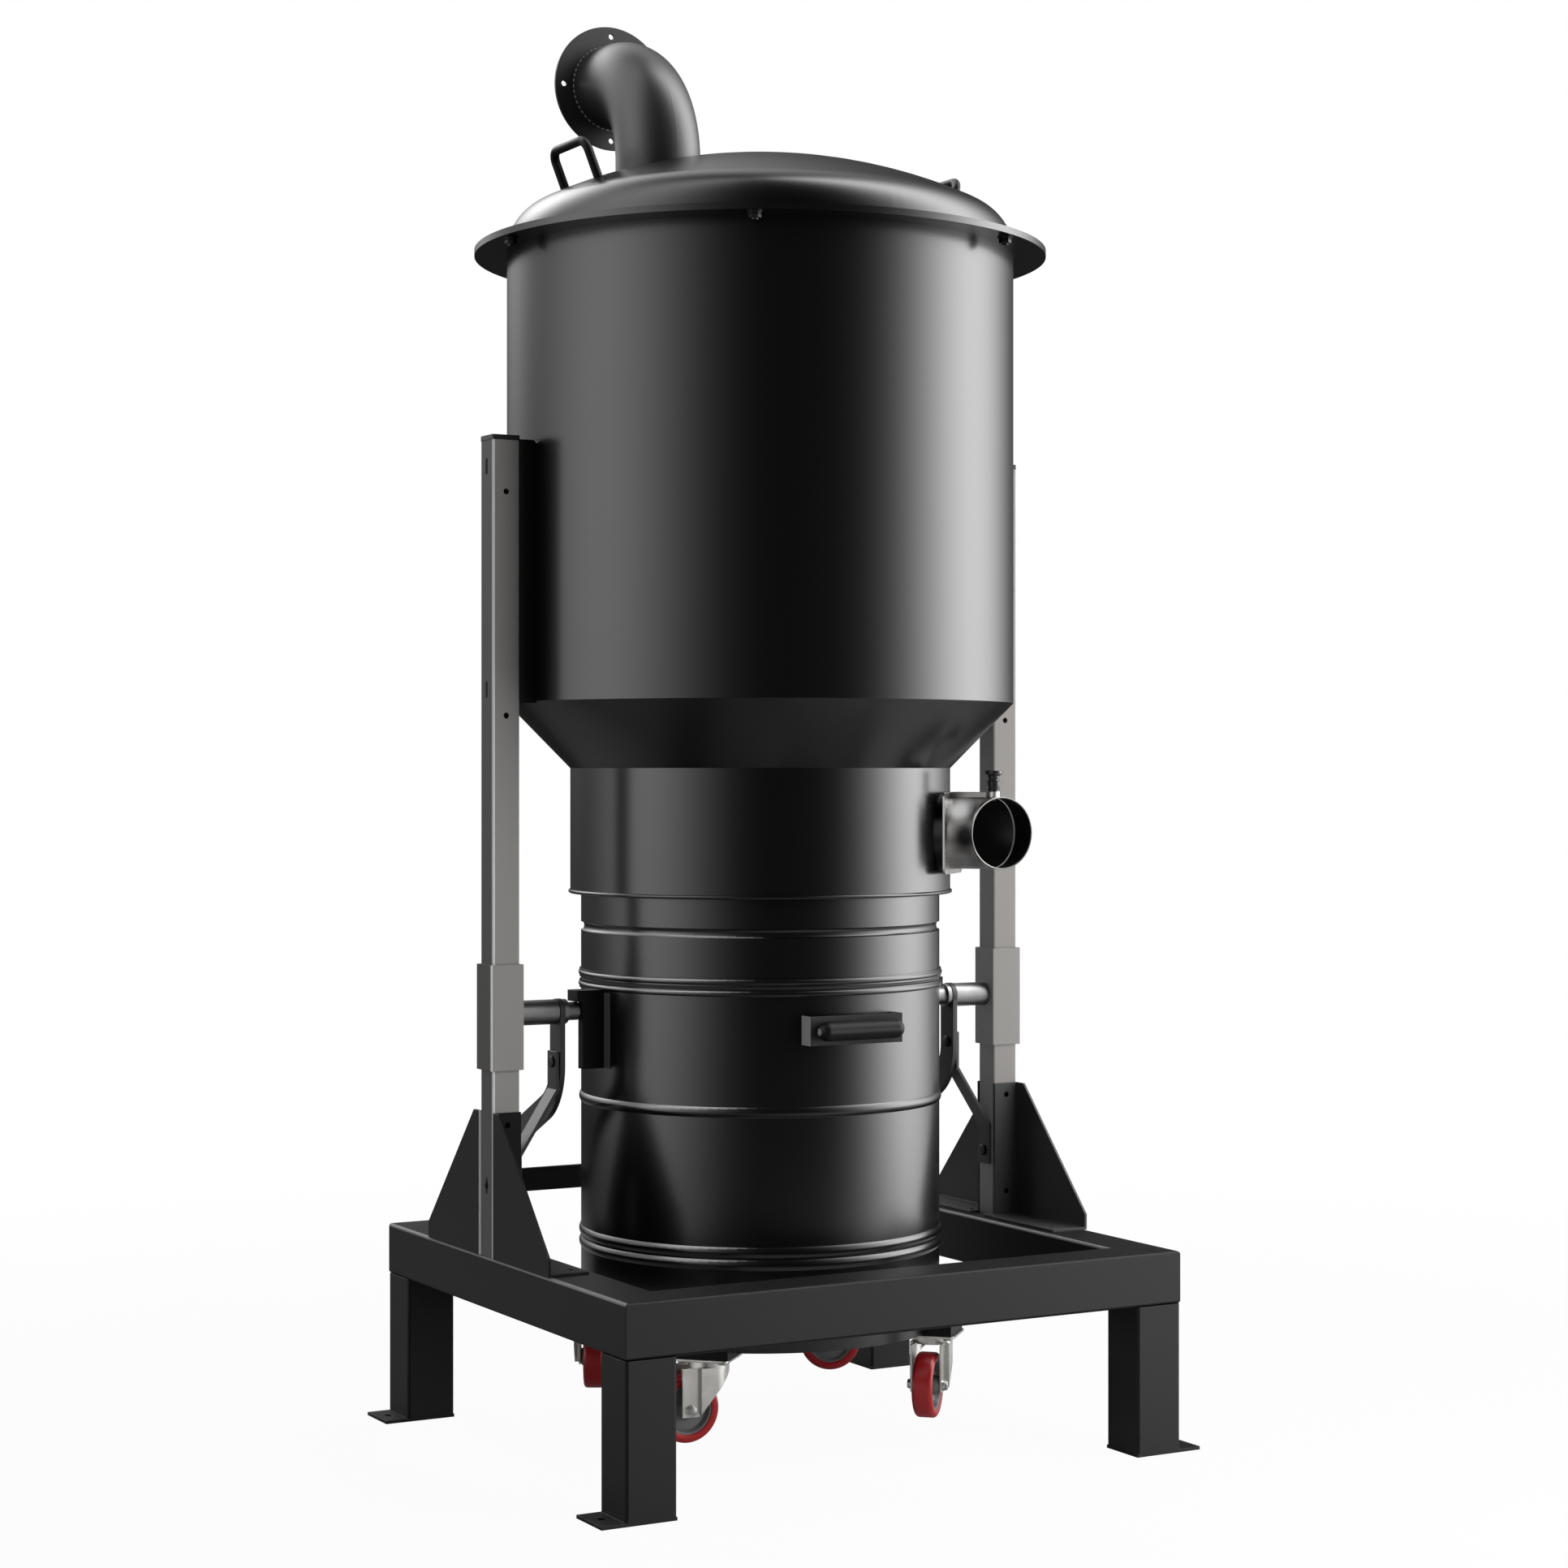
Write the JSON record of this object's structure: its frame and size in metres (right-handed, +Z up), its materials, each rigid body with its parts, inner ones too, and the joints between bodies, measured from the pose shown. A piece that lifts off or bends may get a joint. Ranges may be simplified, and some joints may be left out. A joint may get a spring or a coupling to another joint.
{
  "type": "filter separator",
  "caption": "Upright black filter drum on a tube stand, with a side inlet, a domed lid, an outlet elbow and a dust bin that a lever lowers onto casters.",
  "frame": {"origin": "middle of the machine's outline on the floor, under its feet", "axes": "+Z up, -Y to the front where the bin handle faces, +X to the machine's right as seen from the front, on the inlet's side"},
  "size_m": [1.018, 0.922, 2.2309],
  "materials": {
    "black_paint": "satin",
    "grey_paint": "satin",
    "grey_steel": "satin",
    "bare_steel": "brushed",
    "nickel": "polished",
    "zinc_plate": "satin",
    "caster_wheel": "satin",
    "black_plastic": "matte",
    "gasket": "matte"
  },
  "bodies": {
    "frame": {"front_beam": "black_paint", "left_beam": "black_paint", "right_beam": "black_paint", "front_left_leg": "black_paint", "front_right_leg": "black_paint", "rear_left_leg": "black_paint", "rear_right_leg": "black_paint", "left_post": "grey_paint", "right_post": "grey_paint", "post_caps": "black_plastic", "front_left_gusset": "black_paint", "front_right_gusset": "black_paint", "rear_left_gusset": "black_paint", "rear_right_gusset": "black_paint", "left_channel": "black_paint", "right_channel": "black_paint", "filter_drum": "black_paint", "drum_flange": "black_paint", "hopper_cone": "black_paint", "inlet_chamber": "black_paint", "neck_ring": "black_paint", "neck_gasket": "gasket", "lid_flange": "black_paint", "lid_dome": "black_paint", "left_lid_handle": "black_paint", "right_lid_handle": "black_paint", "outlet_elbow": "black_paint", "outlet_flange": "black_paint", "inlet_collar": "black_paint", "inlet_flange": "bare_steel", "inlet_pipe": "bare_steel", "plunger_seat": "nickel"},
    "plunger": {"plunger_knob": "black_plastic"},
    "bin_lift": {"left_sleeve": "grey_paint", "right_sleeve": "grey_paint", "left_pivot": "grey_steel", "right_pivot": "grey_steel", "bin_shell": "black_paint", "bin_floor": "black_paint", "caster_cross": "black_paint", "caster_plates": "zinc_plate", "left_hook": "black_paint", "right_hook": "black_paint", "front_bin_handle": "black_paint", "rear_bin_handle": "black_paint"},
    "lever": {"left_lever_arm": "black_paint", "right_lever_arm": "black_paint", "lever_crossbar": "black_paint"},
    "links": {"left_link": "black_paint", "right_link": "black_paint"},
    "front_left_swivel": {"front_left_fork": "zinc_plate"},
    "front_right_swivel": {"front_right_fork": "zinc_plate"},
    "rear_left_swivel": {"rear_left_fork": "zinc_plate"},
    "rear_right_swivel": {"rear_right_fork": "zinc_plate"},
    "front_left_roller": {"front_left_wheel": "caster_wheel"},
    "front_right_roller": {"front_right_wheel": "caster_wheel"},
    "rear_left_roller": {"rear_left_wheel": "caster_wheel"},
    "rear_right_roller": {"rear_right_wheel": "caster_wheel"}
  },
  "joints": [
    {"name": "plunger_pull", "type": "slide", "parent": "frame", "child": "plunger", "axis": [0, 0, 1], "range_m": [0, 0.006], "stiffness_N_per_m": 800, "springref_m": -0.01},
    {"name": "bin_lower", "type": "slide", "parent": "frame", "child": "bin_lift", "axis": [0, 0, -1], "range_m": [0, 0.04]},
    {"name": "lever_raise", "type": "hinge", "parent": "bin_lift", "child": "lever", "pos_m": [0, 0.01, 0.672], "axis": [1, 0, 0], "range_deg": [0, 52.5]},
    {"name": "link_tilt", "type": "hinge", "parent": "frame", "child": "links", "pos_m": [0, 0.01, 0.414], "axis": [-1, 0, 0], "range_deg": [0, 19.35]},
    {"name": "front_left_swivel_turn", "type": "hinge", "parent": "bin_lift", "child": "front_left_swivel", "pos_m": [-0.19799, -0.18799, 0.15], "axis": [0, 0, 1], "continuous": true},
    {"name": "front_left_wheel_roll", "type": "hinge", "parent": "front_left_swivel", "child": "front_left_roller", "pos_m": [-0.23689, -0.18527, 0.09001], "axis": [-0.0698, -0.9976, 0], "continuous": true},
    {"name": "front_right_swivel_turn", "type": "hinge", "parent": "bin_lift", "child": "front_right_swivel", "pos_m": [0.19799, -0.18799, 0.15], "axis": [0, 0, 1], "continuous": true},
    {"name": "front_right_wheel_roll", "type": "hinge", "parent": "front_right_swivel", "child": "front_right_roller", "pos_m": [0.1709, -0.21604, 0.09001], "axis": [0.7193, -0.6947, 0], "continuous": true},
    {"name": "rear_left_swivel_turn", "type": "hinge", "parent": "bin_lift", "child": "rear_left_swivel", "pos_m": [-0.19799, 0.20799, 0.15], "axis": [0, 0, 1], "continuous": true},
    {"name": "rear_left_wheel_roll", "type": "hinge", "parent": "rear_left_swivel", "child": "rear_left_roller", "pos_m": [-0.17908, 0.2421, 0.09001], "axis": [-0.8746, 0.4848, 0], "continuous": true},
    {"name": "rear_right_swivel_turn", "type": "hinge", "parent": "bin_lift", "child": "rear_right_swivel", "pos_m": [0.19799, 0.20799, 0.15], "axis": [0, 0, 1], "continuous": true},
    {"name": "rear_right_wheel_roll", "type": "hinge", "parent": "rear_right_swivel", "child": "rear_right_roller", "pos_m": [0.2321, 0.18908, 0.09001], "axis": [0.4848, 0.8746, 0], "continuous": true}
  ],
  "couplings": [
    {"joint": "bin_lower", "follows": "lever_raise", "m_per_rad": 0.04365},
    {"joint": "link_tilt", "follows": "lever_raise", "ratio": 0.3685}
  ]
}
